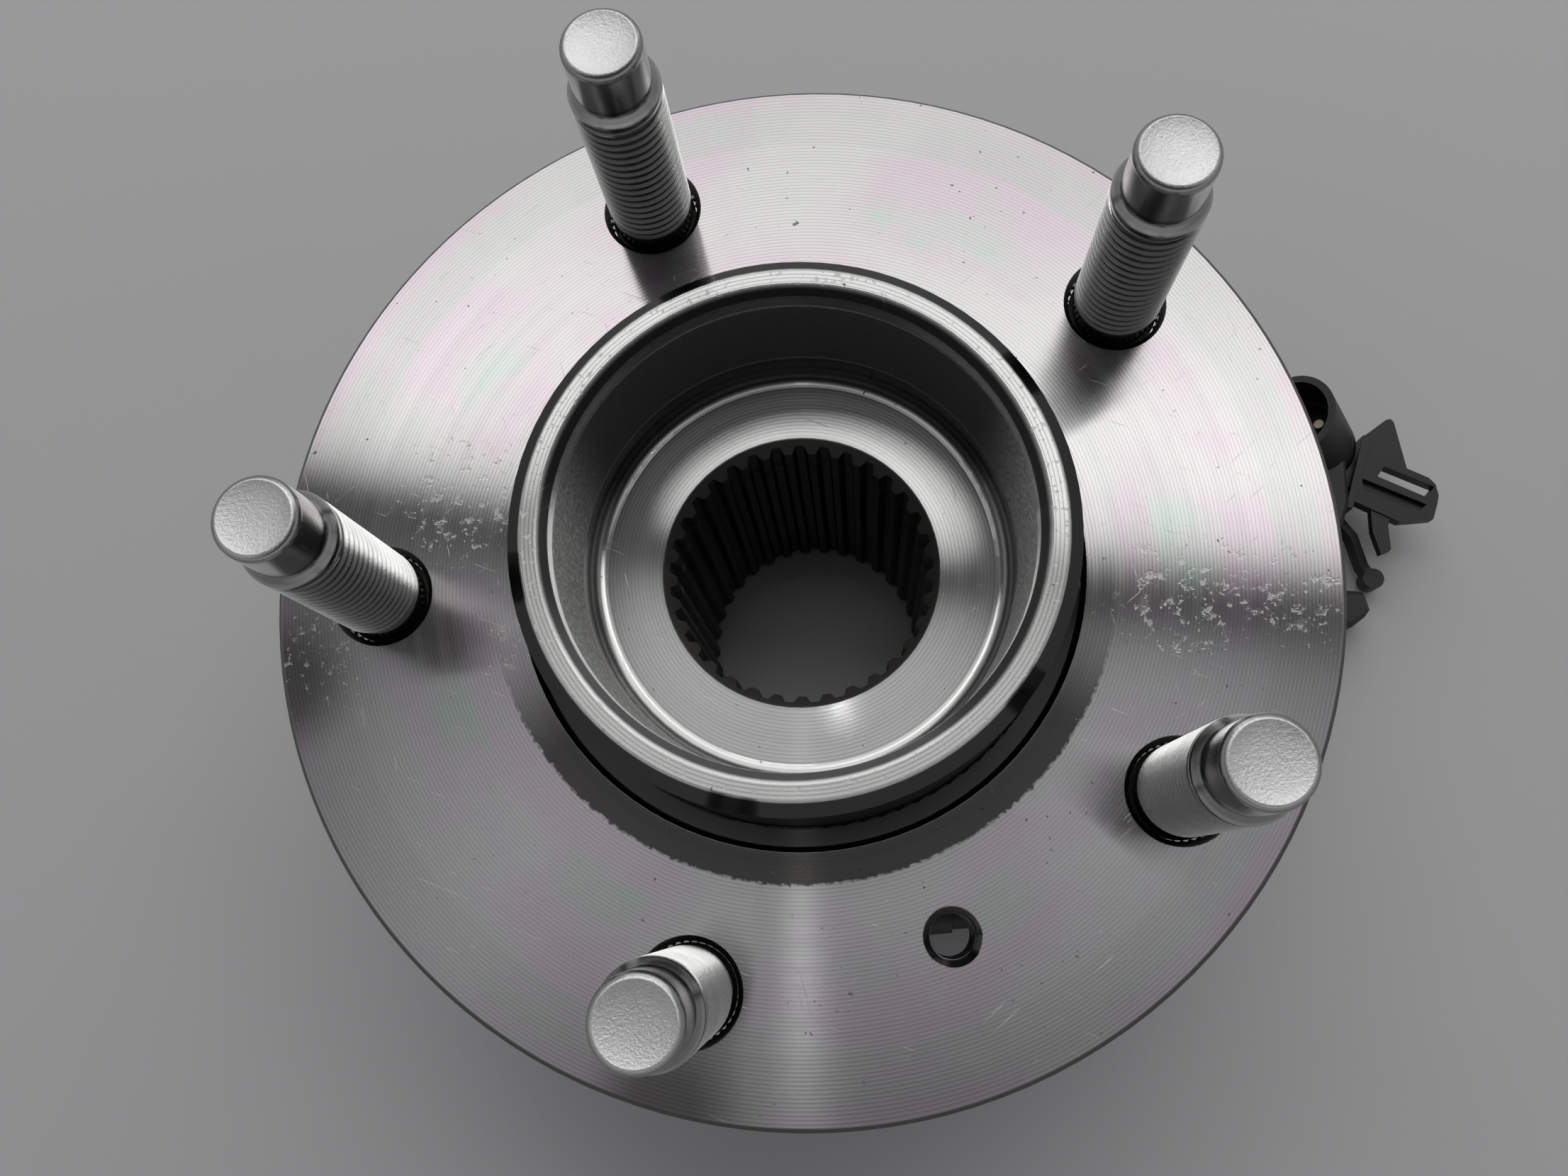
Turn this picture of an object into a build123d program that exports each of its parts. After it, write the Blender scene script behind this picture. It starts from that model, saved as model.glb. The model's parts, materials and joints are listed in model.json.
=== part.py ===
from build123d import *
from math import atan2, cos, degrees, pi, radians, sin, tan
import os

os.makedirs("parts", exist_ok=True)

# Driving dimensions, in millimetres. Heights are above the surface that the unit stands on.

# Wheel flange and pilot
flange_gap = 3.8  # between the outer ring's end and the flange's back
flange_thickness = 9.5
flange_rim = 14.7  # from the stud circle to the edge
flange_edge = 0.75  # chamfer round the rim
back_relief = 1.2  # depth of the turned relief between the stud seats and the rim
pilot_radius = 35.05
pilot_height = 19.7  # above the face
pilot_lead_in = 1.9  # width of the outer chamfer
pilot_mouth_radius = 29.9
pilot_land = 1.45  # flat ring on top of the pilot
recess_depth = 3.7  # below the face
recess_draft = 1.0  # how much narrower the recess is at its floor
recess_cove = 2.2
groove_width = 3.35  # relief round the foot of the pilot
groove_depth = 1.2
groove_slope = 0.5
groove_round = 0.4
root_rise = 1.8  # straight land above the outer ring's end
root_round = 0.8
root_flare = 9.5  # how far the root spreads before it meets the flange
root_flare_round = 2.0
root_flare_step = 0.6
seat_margin = 1.2  # turned seat inside the stud heads
seat_outer_margin = 0.8
pilot_crown_step = 1.6
mouth_step = 0.9

# Wheel studs
stud_count = 5
stud_circle_radius = 57.5
stud_first_angle = 36.6
stud_thread_radius = 6.0
stud_runout_radius = 5.6
stud_knurl_radius = 6.4
stud_length = 38.1  # above the face
stud_point_radius = 5.0
stud_point_length = 7.6
stud_collar_length = 1.3  # plain band between the thread and the point
stud_collar_radius = 5.9
stud_valley_step = 0.1
stud_end_edge = 0.6
stud_end_dish = 0.3  # depth of the hollow in the end
stud_head_radius = 8.4
stud_head_height = 4.0
stud_press_bite = 0.02
countersink_radius = 7.1
disc_screw_hole_radius = 2.8
disc_screw_countersink = 3.78
disc_screw_inset = 5.1  # inside the stud circle
disc_screw_angle = 288.4

# Axle spline
spline_teeth = 33
spline_tip_radius = 17.4
spline_root_radius = 18.35
spline_flank_angle = 30.0
bore_chamfer_radius = 19.2

# Bearing
ball_radius = 6.35
ball_count = 14
ball_pitch_radius = 33.0
race_conformity = 1.04  # groove radius over ball radius
race_gap = 0.05
contact_angle = 38.0
knuckle_row_height = 18.5
row_spacing = 19.0
inner_high_shoulder = 2.8  # inside the pitch radius
inner_low_shoulder = 4.8
outer_middle_shoulder = 3.4  # outside the pitch radius
outer_low_shoulder = 5.8
seal_bore_step = 7.2
ring_reach = 11.2  # from a ball row to the outer ring's end face
ring_split = 1.0  # inner ring's end below the middle between the rows
ring_seat_radius = 22.6
ring_edge = 0.8
rolled_rim_height = 2.6
rolled_rim_radius = 26.8
cage_inner_gap = 0.7
cage_outer_gap = 0.9
cage_back = 1.5
cage_open_reach = 2.4
pocket_gap = 0.15

# Knuckle side of the outer ring
knuckle_face_height = 17.0
knuckle_flange_thickness = 12.0
knuckle_pilot_step = 0.5  # outside the barrel
knuckle_bolt_offset = 13.0  # from the barrel's surface to the bolt circle
knuckle_bolt_count = 3
knuckle_first_angle = 90.0
knuckle_tap_radius = 5.1
knuckle_ear_radius = 13.0
knuckle_web_height = 3.5  # above the barrel
knuckle_ear_fillet = 14.0
barrel_wall = 4.8  # outside the seals' bore
spigot_step = 2.0  # inside the barrel
spigot_length = 3.0

# Seals
seal_wall = 0.9
seal_start = 7.0  # from a ball row
seal_web_width = 6.1
slinger_wall = 0.8
slinger_start = 6.4
slinger_end = 11.95
slinger_rim_gap = 1.6
lip_gap = 0.06
lip_reach = 10.6

# Speed sensor
cap_wall = 1.0
cap_disc_height = 1.3  # underside of the cap
cap_bore_gap = 1.2
tone_width = 3.4
tone_wall = 1.0
tone_windows = 43
tone_window_share = 0.5
tone_cap_gap = 0.8
sensor_angle = 270.0
sensor_half_angle = 12.0
sensor_gap = 0.9
sensor_overhang = 1.2  # outside the cap
sensor_bottom = 0.8
sensor_ring_gap = 0.2
sensor_lug_width = 12.0
sensor_lug_reach = 6.8  # from the housing's outer face
nose_radius = 3.6
nose_length = 5.0
nose_inset = 3.8  # inside the lug's end
nose_height = 4.4
chip_width = 3.8
chip_height = 3.2
chip_depth = 1.4
magnet_depth = 1.6
grommet_length = 9.0
grommet_end_radius = 3.1

# Lead: centre line from the grommet's end to the connector
lead_radius = 2.5
lead_bend_share = 0.45
lead_first_run = 14.5  # straight out of the grommet
lead_bends = [
    (52.5, -45.4, 2.6),
    (69.0, -34.5, 2.6),
    (81.0, -19.5, 2.6),
    (86.2, -4.2, 5.0),
    (86.2, 9.4, 5.0),
]
lead_clip_place = (86.0, -0.6)
lead_clip_corners = [
    (-4.2, -3.2),
    (6.8, -3.2),
    (9.2, -1.6),
    (10.2, -0.4),
    (9.6, 2.8),
    (7.0, 3.2),
    (-4.2, 3.2),
]
lead_clip_height = 7.6
lead_clip_edge = 0.8

# Connector
body_height = 13.5
body_edge = 1.6
body_corners = [
    (81.0, 12.4),
    (91.4, 12.4),
    (93.2, 16.8),
    (93.8, 24.2),
    (95.9, 27.6),
    (95.3, 30.0),
    (92.6, 32.8),
    (82.5, 33.0),
    (79.5, 28.0),
]
rear_cover_length = 3.0
rear_cover_half_width = 5.0
rear_cover_height = 11.0
mouth_centre = (84.1, 31.1, 20.0)
mouth_lean = 30.0  # of the mating axis, from upright towards -X
mouth_tilt = 12.0  # and from there towards +Y
mouth_half_width = 6.3
mouth_half_depth = 7.1
mouth_wall = 1.2
mouth_depth = 9.0
mouth_stub = 15.0
terminal_radius = 0.8
terminal_spacing = 4.6
terminal_length = 8.0
terminal_seat = 4.5
seal_ring_height = 1.6
seal_ring_wall = 0.5
clip_origin = (96.5, 22.3)
clip_angle = -21.0
clip_base_thickness = 1.1
clip_base_half_width = 6.8
clip_base_rise = 1.5  # above the arrow
clip_base_drop = 2.8
clip_bottom = 8.2
clip_height = 2.3
clip_leaf_step = 0.3
clip_neck_length = 3.2
clip_neck_half_width = 2.6
clip_spine = [
    (0.0, -4.8),
    (8.6, -6.3),
    (13.8, -4.2),
    (13.9, -1.2),
    (13.8, 0.3),
    (12.9, 2.1),
    (11.6, 2.95),
    (8.1, 3.5),
    (0.0, 4.6),
]
clip_upper_leaf = [(8.0, 3.2), (3.9, 11.4), (3.2, 11.9), (2.5, 11.5), (-0.6, 7.3), (-0.6, 3.4)]
clip_lower_leaf = [
    (6.8, -5.2),
    (6.9, -7.6),
    (8.2, -11.3),
    (8.0, -11.9),
    (6.8, -12.8),
    (4.6, -9.2),
    (3.4, -5.2),
]
clip_slot = [(3.2, 0.7), (11.8, -0.6), (12.8, 1.65), (3.9, 2.85)]
clip_pocket = [(0.8, -0.4), (12.2, -1.9), (11.2, -3.4), (5.0, -3.2), (1.2, -2.4)]
clip_pocket_depth = 1.1
latch_route = [(92.6, 18.8), (96.3, 12.8), (97.3, 7.4), (98.5, 4.9)]
latch_width = 1.3
latch_bottom = 1.6
latch_height = 3.4
latch_knob_centre = (98.5, 4.9)
latch_knob_radius = 1.8

# Sizes that follow from the driving ones
wheel_row_height = knuckle_row_height + row_spacing
middle_height = knuckle_row_height + row_spacing / 2
ring_top = wheel_row_height + ring_reach
ring_bottom = knuckle_row_height - ring_reach
split_height = middle_height - ring_split
race_radius = ball_radius * race_conformity
race_shift = race_radius - ball_radius - race_gap
land_radius = ball_pitch_radius - inner_high_shoulder
low_land_radius = ball_pitch_radius - inner_low_shoulder
seal_bore_radius = ball_pitch_radius + seal_bore_step
barrel_radius = seal_bore_radius + barrel_wall
spigot_radius = barrel_radius - spigot_step
cap_radius = spigot_radius + cap_wall
knuckle_pilot_radius = barrel_radius + knuckle_pilot_step
knuckle_web_radius = barrel_radius + knuckle_web_height
knuckle_bolt_radius = barrel_radius + knuckle_bolt_offset
slinger_radius = land_radius + slinger_wall
slinger_rim_radius = seal_bore_radius - slinger_rim_gap
tone_radius = slinger_rim_radius
tone_bottom = cap_disc_height + cap_wall + tone_cap_gap
sensor_outer_radius = cap_radius + sensor_overhang
sensor_lug_radius = sensor_outer_radius + sensor_lug_reach
nose_offset = sensor_lug_radius - nose_inset
flange_back = ring_top + flange_gap
face_height = flange_back + flange_thickness
flange_radius = stud_circle_radius + flange_rim
disc_screw_circle_radius = stud_circle_radius - disc_screw_inset
floor_height = face_height - recess_depth
pilot_top = face_height + pilot_height
groove_radius = pilot_radius + groove_width
grommet_end = sensor_lug_width / 2 + nose_length + grommet_length
lead_route = [
    (grommet_end, -nose_offset, nose_height),
    (grommet_end + lead_first_run, -nose_offset, nose_height),
    *lead_bends,
]


def polar(radius, angle, height=0.0):
    """A point on a circle about the spin axis."""
    return (radius * cos(radians(angle)), radius * sin(radians(angle)), height)


def turned(*corners):
    """A solid of revolution; each corner is its radius, its height and its rounding."""
    points = [(corner[0], 0, corner[1]) for corner in corners]
    roundings = [corner[2] if len(corner) > 2 else 0 for corner in corners]
    outline = make_face(FilletPolyline(*points, radius=roundings, close=True))
    return revolve(outline, axis=Axis.Z)


def tube(outer, inner, bottom, top):
    """A plain turned ring."""
    return turned((inner, bottom), (outer, bottom), (outer, top), (inner, top))


def upright(radius, place, bottom, top):
    """A vertical cylinder."""
    shape = Cylinder(radius, top - bottom, align=(Align.CENTER, Align.CENTER, Align.MIN))
    return Pos(place[0], place[1], bottom) * shape


def prism(corners, bottom, height, rounding=0.0):
    """An upright block on a flat outline, with its upright edges rounded."""
    block = extrude(Pos(0, 0, bottom) * make_face(Polyline(*corners, close=True)), height)
    return fillet(block.edges().filter_by(Axis.Z), rounding) if rounding else block


def race_groove(row_height, side, outer):
    """The ring cut away for one ball row; side is +1 for the wheel side."""
    toward = -1 if outer else 1
    radius = ball_pitch_radius + toward * race_shift * cos(radians(contact_angle))
    height = row_height + toward * -side * race_shift * sin(radians(contact_angle))
    return Pos(0, 0, height) * Torus(radius, race_radius)


def stud_places():
    """Centres of the wheel studs."""
    return [polar(stud_circle_radius, stud_first_angle + k * 360 / stud_count) for k in range(stud_count)]


def make_spline_space():
    """One space between two teeth of the bore."""
    middle_radius = (spline_tip_radius + spline_root_radius) / 2
    half_middle = pi * middle_radius / spline_teeth / 2
    slope = tan(radians(spline_flank_angle))
    inner_radius = spline_tip_radius - 0.4
    half_inner = half_middle + (middle_radius - inner_radius) * slope
    half_outer = half_middle - (spline_root_radius - middle_radius) * slope
    outline = Polyline(
        (inner_radius, -half_inner),
        (spline_root_radius, -half_outer),
        (spline_root_radius, half_outer),
        (inner_radius, half_inner),
        close=True,
    )
    return extrude(make_face(outline), face_height)


def make_hub():
    """Spindle, wheel flange and pilot, forged and turned as one piece."""
    pilot_crown = pilot_mouth_radius + pilot_land
    seat_inner = stud_circle_radius - stud_head_radius - seat_margin
    seat_outer = stud_circle_radius + stud_head_radius + seat_outer_margin
    blank = turned(
        (spline_tip_radius, 0),
        (rolled_rim_radius, 0, 0.7),
        (rolled_rim_radius, rolled_rim_height),
        (ring_seat_radius, rolled_rim_height),
        (ring_seat_radius, split_height),
        (low_land_radius, split_height),
        (low_land_radius, wheel_row_height),
        (land_radius, wheel_row_height),
        (land_radius, ring_top + root_rise, root_round),
        (land_radius + root_flare, flange_back - root_flare_step, root_flare_round),
        (seat_inner, flange_back),
        (seat_outer, flange_back),
        (seat_outer + back_relief, flange_back + back_relief),
        (flange_radius - flange_edge, flange_back + back_relief),
        (flange_radius, flange_back + back_relief + flange_edge),
        (flange_radius, face_height - flange_edge),
        (flange_radius - flange_edge, face_height),
        (groove_radius, face_height),
        (groove_radius - groove_slope, face_height - groove_depth, groove_round),
        (pilot_radius, face_height - groove_depth, groove_round),
        (pilot_radius, pilot_top - pilot_crown_step),
        (pilot_radius - pilot_lead_in, pilot_top),
        (pilot_crown, pilot_top),
        (pilot_mouth_radius, pilot_top - mouth_step),
        (pilot_mouth_radius - recess_draft, floor_height, recess_cove),
        (bore_chamfer_radius, floor_height),
        (spline_tip_radius, floor_height - bore_chamfer_radius + spline_tip_radius),
    )
    lead_in = turned(
        (0, 0),
        (bore_chamfer_radius, 0),
        (spline_tip_radius, bore_chamfer_radius - spline_tip_radius),
        (0, bore_chamfer_radius - spline_tip_radius),
    )
    blank -= lead_in
    blank -= race_groove(wheel_row_height, 1, outer=False)
    space = make_spline_space()
    blank -= [Rot(0, 0, k * 360 / spline_teeth) * space for k in range(spline_teeth)]
    for x, y, _ in stud_places():
        blank -= upright(stud_knurl_radius - stud_press_bite, (x, y), 0, face_height)
        sink_depth = countersink_radius - stud_knurl_radius
        sink = Cone(stud_knurl_radius - stud_press_bite, countersink_radius, sink_depth)
        blank -= Pos(x, y, face_height - sink_depth / 2) * sink
    x, y, _ = polar(disc_screw_circle_radius, disc_screw_angle)
    blank -= upright(disc_screw_hole_radius, (x, y), 0, face_height)
    sink_depth = disc_screw_countersink - disc_screw_hole_radius
    sink = Cone(disc_screw_hole_radius, disc_screw_countersink, sink_depth)
    return blank - Pos(x, y, face_height - sink_depth / 2) * sink


def make_stud(place):
    """A pressed-in wheel stud with a plain cylinder where its thread is."""
    top = face_height + stud_length
    point_start = top - stud_point_length
    step = stud_thread_radius - stud_point_radius
    collar_top = point_start - step
    collar_bottom = collar_top - stud_collar_length
    rim_radius = stud_point_radius - stud_end_edge
    stud = turned(
        (0, flange_back - stud_head_height),
        (stud_head_radius - 1.0, flange_back - stud_head_height),
        (stud_head_radius, flange_back - stud_head_height + 1.0),
        (stud_head_radius, flange_back),
        (stud_knurl_radius, flange_back),
        (stud_knurl_radius, face_height - 2.4),
        (stud_runout_radius, face_height - 1.6),
        (stud_runout_radius, face_height),
        (stud_thread_radius, face_height + stud_thread_radius - stud_runout_radius),
        (stud_thread_radius, collar_bottom - stud_valley_step),
        (stud_collar_radius, collar_bottom),
        (stud_collar_radius, collar_top),
        (stud_point_radius, point_start),
        (stud_point_radius, top - stud_end_edge),
        (rim_radius, top),
        (rim_radius - stud_end_dish, top),
        (rim_radius - 2 * stud_end_dish, top - stud_end_dish),
        (0, top - stud_end_dish),
    )
    return Pos(place[0], place[1], 0) * stud


def make_inner_ring():
    """The pressed-on inner ring that carries the knuckle-side row."""
    ring = turned(
        (ring_seat_radius, rolled_rim_height),
        (land_radius - ring_edge, rolled_rim_height),
        (land_radius, rolled_rim_height + ring_edge),
        (land_radius, knuckle_row_height),
        (low_land_radius, knuckle_row_height),
        (low_land_radius, split_height - ring_edge / 2),
        (low_land_radius - ring_edge / 2, split_height),
        (ring_seat_radius, split_height),
    )
    return ring - race_groove(knuckle_row_height, -1, outer=False)


def make_outer_ring():
    """The stationary ring with the knuckle flange and both outer races."""
    flange_top = knuckle_face_height + knuckle_flange_thickness
    middle_radius = ball_pitch_radius + outer_middle_shoulder
    low_radius = ball_pitch_radius + outer_low_shoulder
    seal_depth = ring_reach - seal_start
    ring = turned(
        (seal_bore_radius, ring_bottom),
        (spigot_radius, ring_bottom),
        (spigot_radius, ring_bottom + spigot_length),
        (knuckle_pilot_radius - 0.8, ring_bottom + spigot_length),
        (knuckle_pilot_radius, ring_bottom + spigot_length + 0.8),
        (knuckle_pilot_radius, flange_top),
        (barrel_radius, flange_top + 1.0, 0.8),
        (barrel_radius, ring_top - 1.0),
        (barrel_radius - 1.0, ring_top),
        (seal_bore_radius, ring_top),
        (seal_bore_radius, ring_top - seal_depth),
        (low_radius, ring_top - seal_depth),
        (low_radius, wheel_row_height),
        (middle_radius, wheel_row_height),
        (middle_radius, knuckle_row_height),
        (low_radius, knuckle_row_height),
        (low_radius, ring_bottom + seal_depth),
        (seal_bore_radius, ring_bottom + seal_depth),
    )
    outline = Circle(knuckle_web_radius)
    ears = []
    for k in range(knuckle_bolt_count):
        angle = knuckle_first_angle + k * 360 / knuckle_bolt_count
        outline += Pos(*polar(knuckle_bolt_radius, angle)) * Circle(knuckle_ear_radius)
        ears.append(polar(knuckle_bolt_radius, angle))
    outline = fillet(outline.vertices(), knuckle_ear_fillet)
    outline -= Circle(barrel_radius - 1.5)
    flange = extrude(Pos(0, 0, knuckle_face_height) * outline, knuckle_flange_thickness)
    flange = chamfer(flange.faces().sort_by(Axis.Z)[-1].outer_wire().edges(), 1.2)
    ring += flange
    for ear in ears:
        ring -= upright(knuckle_tap_radius, ear, knuckle_face_height, flange_top)
        sink = Cone(knuckle_tap_radius + 1.0, knuckle_tap_radius, 1.0)
        ring -= Pos(ear[0], ear[1], knuckle_face_height + 0.5) * sink
    ring -= race_groove(wheel_row_height, 1, outer=True)
    return ring - race_groove(knuckle_row_height, -1, outer=True)


def make_balls(row_height):
    """One full row of balls."""
    ball = Pos(ball_pitch_radius, 0, row_height) * Sphere(ball_radius)
    return Compound([Rot(0, 0, k * 360 / ball_count) * ball for k in range(ball_count)])


def make_cage(row_height, side):
    """A crown cage: a ring between the rows whose prongs reach round the balls."""
    inner = land_radius + cage_inner_gap
    outer = ball_pitch_radius + outer_middle_shoulder - cage_outer_gap
    ends = sorted([row_height - side * (ball_radius + cage_back), row_height + side * cage_open_reach])
    cage = tube(outer, inner, ends[0], ends[1])
    pocket = Pos(ball_pitch_radius, 0, row_height) * Sphere(ball_radius + pocket_gap)
    return cage - [Rot(0, 0, k * 360 / ball_count) * pocket for k in range(ball_count)]


def seal_profile(row_height, side, corners):
    """Turned ring whose heights are reaches from a ball row towards its end of the bearing."""
    return turned(*[(radius, row_height + side * reach) for radius, reach in corners])


def make_seal_case(row_height, side):
    """The stamped ring pressed into the outer ring's bore."""
    wall = seal_bore_radius - seal_wall
    web = wall - seal_web_width
    corners = [
        (web, seal_start),
        (seal_bore_radius, seal_start),
        (seal_bore_radius, ring_reach - 0.2),
        (wall, ring_reach - 0.2),
        (wall, seal_start + seal_wall),
        (web, seal_start + seal_wall),
    ]
    return seal_profile(row_height, side, corners)


def make_seal_lip(row_height, side):
    """The rubber lips bonded to the case, which run on the slinger."""
    web = seal_bore_radius - seal_wall - seal_web_width
    run = slinger_radius + lip_gap
    corners = [
        (web, seal_start + 0.1),
        (web, seal_start + seal_wall),
        (web + 1.6, seal_start + seal_wall),
        (web + 1.6, seal_start + seal_wall + 0.8),
        (run + 1.0, seal_start + seal_wall + 1.2),
        (run, lip_reach),
        (run, lip_reach - 0.9),
        (run + 0.6, seal_start + seal_wall + 0.4),
        (run, seal_start + 0.5),
        (run, seal_start),
    ]
    return seal_profile(row_height, side, corners)


def make_slinger(row_height, side):
    """The stainless ring on the land, which flings dirt off the seal."""
    corners = [
        (land_radius, slinger_start),
        (slinger_radius, slinger_start),
        (slinger_radius, slinger_end - slinger_wall),
        (slinger_rim_radius, slinger_end - slinger_wall),
        (slinger_rim_radius, slinger_end),
        (land_radius, slinger_end),
    ]
    return seal_profile(row_height, side, corners)


def make_tone_ring():
    """The toothed ring on the inner ring's land that the sensor reads."""
    top = tone_bottom + tone_width
    ring = turned(
        (land_radius, tone_bottom + ring_edge),
        (land_radius + tone_wall, tone_bottom + ring_edge),
        (land_radius + tone_wall, top - tone_wall),
        (tone_radius - tone_wall, top - tone_wall),
        (tone_radius - tone_wall, tone_bottom),
        (tone_radius, tone_bottom),
        (tone_radius, top),
        (land_radius, top),
    )
    window_width = 2 * pi * tone_radius / tone_windows * tone_window_share
    window = Pos(tone_radius, 0, tone_bottom) * Box(3 * tone_wall, window_width, 2 * (tone_width - tone_wall))
    return ring - [Rot(0, 0, k * 360 / tone_windows) * window for k in range(tone_windows)]


def arc_block(inner, outer, half_angle, bottom, top):
    """A block that follows the circle at the sensor's place."""
    reach = 2 * outer
    ring = tube(outer, inner, bottom, top)
    wedge = make_face(
        Polyline((0, 0), polar(reach, -half_angle)[:2], polar(reach, half_angle)[:2], close=True)
    )
    return Rot(0, 0, sensor_angle) * (ring & extrude(Pos(0, 0, bottom) * wedge, top - bottom))


def make_cap():
    """The stamped cap over the tone ring, notched for the sensor."""
    top = ring_bottom + spigot_length - 0.2
    cap = turned(
        (land_radius + cap_bore_gap, cap_disc_height),
        (cap_radius, cap_disc_height, 0.8),
        (cap_radius, top),
        (spigot_radius, top),
        (spigot_radius, cap_disc_height + cap_wall),
        (land_radius + cap_bore_gap, cap_disc_height + cap_wall),
    )
    inner = tone_radius + sensor_gap
    return cap - arc_block(inner, sensor_outer_radius, sensor_half_angle, 0, ring_bottom - sensor_ring_gap)


def sensor_pocket(depth_start, depth):
    """A box at the sensor's inner face, along its radius."""
    inner = tone_radius + sensor_gap + depth_start
    height = (sensor_bottom + ring_bottom) / 2
    box = Pos(inner + depth / 2, 0, height) * Box(depth, chip_width, chip_height)
    return Rot(0, 0, sensor_angle) * box


def make_sensor_chip():
    """The sensing chip, at the inner face."""
    return sensor_pocket(0.5, chip_depth)


def make_sensor_magnet():
    """The bias magnet behind the chip."""
    return sensor_pocket(0.5 + chip_depth, magnet_depth)


def make_sensor_body():
    """The moulded sensor housing in the cap's notch, with its cable outlet along the ring."""
    inner = tone_radius + sensor_gap
    top = ring_bottom - sensor_ring_gap
    body = arc_block(inner, sensor_outer_radius, sensor_half_angle, sensor_bottom, top)
    lug_inner = cap_radius + 0.1
    lug_length = sensor_lug_radius - lug_inner
    lug = Box(lug_length, sensor_lug_width, top - sensor_bottom)
    lug = fillet(lug.edges().filter_by(Axis.Z).sort_by(Axis.X)[-2:], 1.5)
    body += Rot(0, 0, sensor_angle) * Pos(lug_inner + lug_length / 2, 0, (top + sensor_bottom) / 2) * lug
    nose = Cylinder(nose_radius, nose_length + 2, align=(Align.CENTER, Align.CENTER, Align.MAX))
    end = sensor_lug_width / 2 + nose_length
    body += Rot(0, 0, sensor_angle) * Pos(nose_offset, end, nose_height) * Rot(-90, 0, 0) * nose
    return body - make_sensor_chip() - make_sensor_magnet()


def make_grommet():
    """The tapered rubber strain relief on the sensor's outlet."""
    shape = Cone(nose_radius - 0.2, grommet_end_radius, grommet_length)
    middle = sensor_lug_width / 2 + nose_length + grommet_length / 2
    return Rot(0, 0, sensor_angle) * Pos(nose_offset, middle, nose_height) * Rot(-90, 0, 0) * shape


def make_lead():
    """The sensor's lead, as a round tube of straight runs and tangent arcs."""
    points = [Vector(*point) for point in lead_route]
    runs = [after - before for before, after in zip(points, points[1:])]
    radii = []
    for before, after in zip(runs, runs[1:]):
        half_turn = radians(before.get_angle(after)) / 2
        radii.append(lead_bend_share * min(before.length, after.length) / tan(half_turn))
    print("lead bend radii", [round(radius, 1) for radius in radii])
    path = FilletPolyline(*points, radius=radii)
    start = Plane(origin=points[0], z_dir=runs[0])
    lead = sweep(start * Circle(lead_radius), path=path)
    print("lead length", round(path.length, 2))
    evenness = lead.volume / (pi * lead_radius**2 * path.length)
    print("lead volume over section times length", round(evenness, 5))
    return lead


def make_lead_clip(lead):
    """The moulded clip that the lead passes through."""
    x, y = lead_clip_place
    corners = [(x + along, y + across) for along, across in lead_clip_corners]
    block = prism(corners, 0, lead_clip_height)
    return chamfer(block.faces().sort_by(Axis.Z)[-1].edges(), lead_clip_edge) - lead


def mouth_plane(offset=0.0):
    """Plane across the connector's mating axis, so far above its mouth."""
    lean = radians(mouth_lean)
    tilt = radians(mouth_tilt)
    axis = Vector(-sin(lean), sin(tilt) * cos(lean), cos(tilt) * cos(lean))
    return Plane(origin=Vector(*mouth_centre) + axis * offset, x_dir=(axis.Z, 0, -axis.X), z_dir=axis)


def make_terminals():
    """The two pins inside the connector's mouth."""
    plane = mouth_plane(-mouth_depth - terminal_seat)
    pins = []
    for side in (-1, 1):
        spot = plane * Pos(side * terminal_spacing / 2, 0) * Circle(terminal_radius)
        pins.append(extrude(spot, terminal_length))
    return Compound(pins)


def make_mouth_seal():
    """The rubber ring at the bottom of the connector's mouth."""
    plane = mouth_plane(-mouth_depth)
    half_width = mouth_half_width - mouth_wall
    half_depth = mouth_half_depth - mouth_wall
    ring = Ellipse(half_width, half_depth)
    ring -= Ellipse(half_width - seal_ring_wall, half_depth - seal_ring_wall)
    return extrude(plane * ring, seal_ring_height)


def make_connector_housing():
    """The two-way connector: a flat body with its mating shroud turned up."""
    body = prism(body_corners, 0, body_height, body_edge)
    body = chamfer(body.faces().sort_by(Axis.Z)[-1].edges(), 0.7)
    body += extrude(mouth_plane(-mouth_stub) * Ellipse(mouth_half_width, mouth_half_depth), mouth_stub)
    cavity = Ellipse(mouth_half_width - mouth_wall, mouth_half_depth - mouth_wall)
    body -= extrude(mouth_plane(-mouth_depth) * cavity, mouth_depth + 1)
    for pin in make_terminals().solids():
        body -= pin
    return body


def make_rear_cover():
    """The cover over the wire seals at the connector's rear."""
    x, y, height = lead_route[-1]
    rear = body_corners[0][1]
    cover = Pos(x, rear, 0) * Box(
        2 * rear_cover_half_width,
        rear - y,
        rear_cover_height,
        align=(Align.CENTER, Align.MAX, Align.MIN),
    )
    return fillet(cover.edges().filter_by(Axis.Y), 1.5)


def clip_point(along, across):
    """A plan point in the frame of the arrow clip."""
    angle = radians(clip_angle)
    x = clip_origin[0] + along * cos(angle) - across * sin(angle)
    y = clip_origin[1] + along * sin(angle) + across * cos(angle)
    return (x, y)


def clip_prism(corners, bottom, height):
    """A block of the arrow clip, from corners in its own frame."""
    return prism([clip_point(*corner) for corner in corners], bottom, height)


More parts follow.
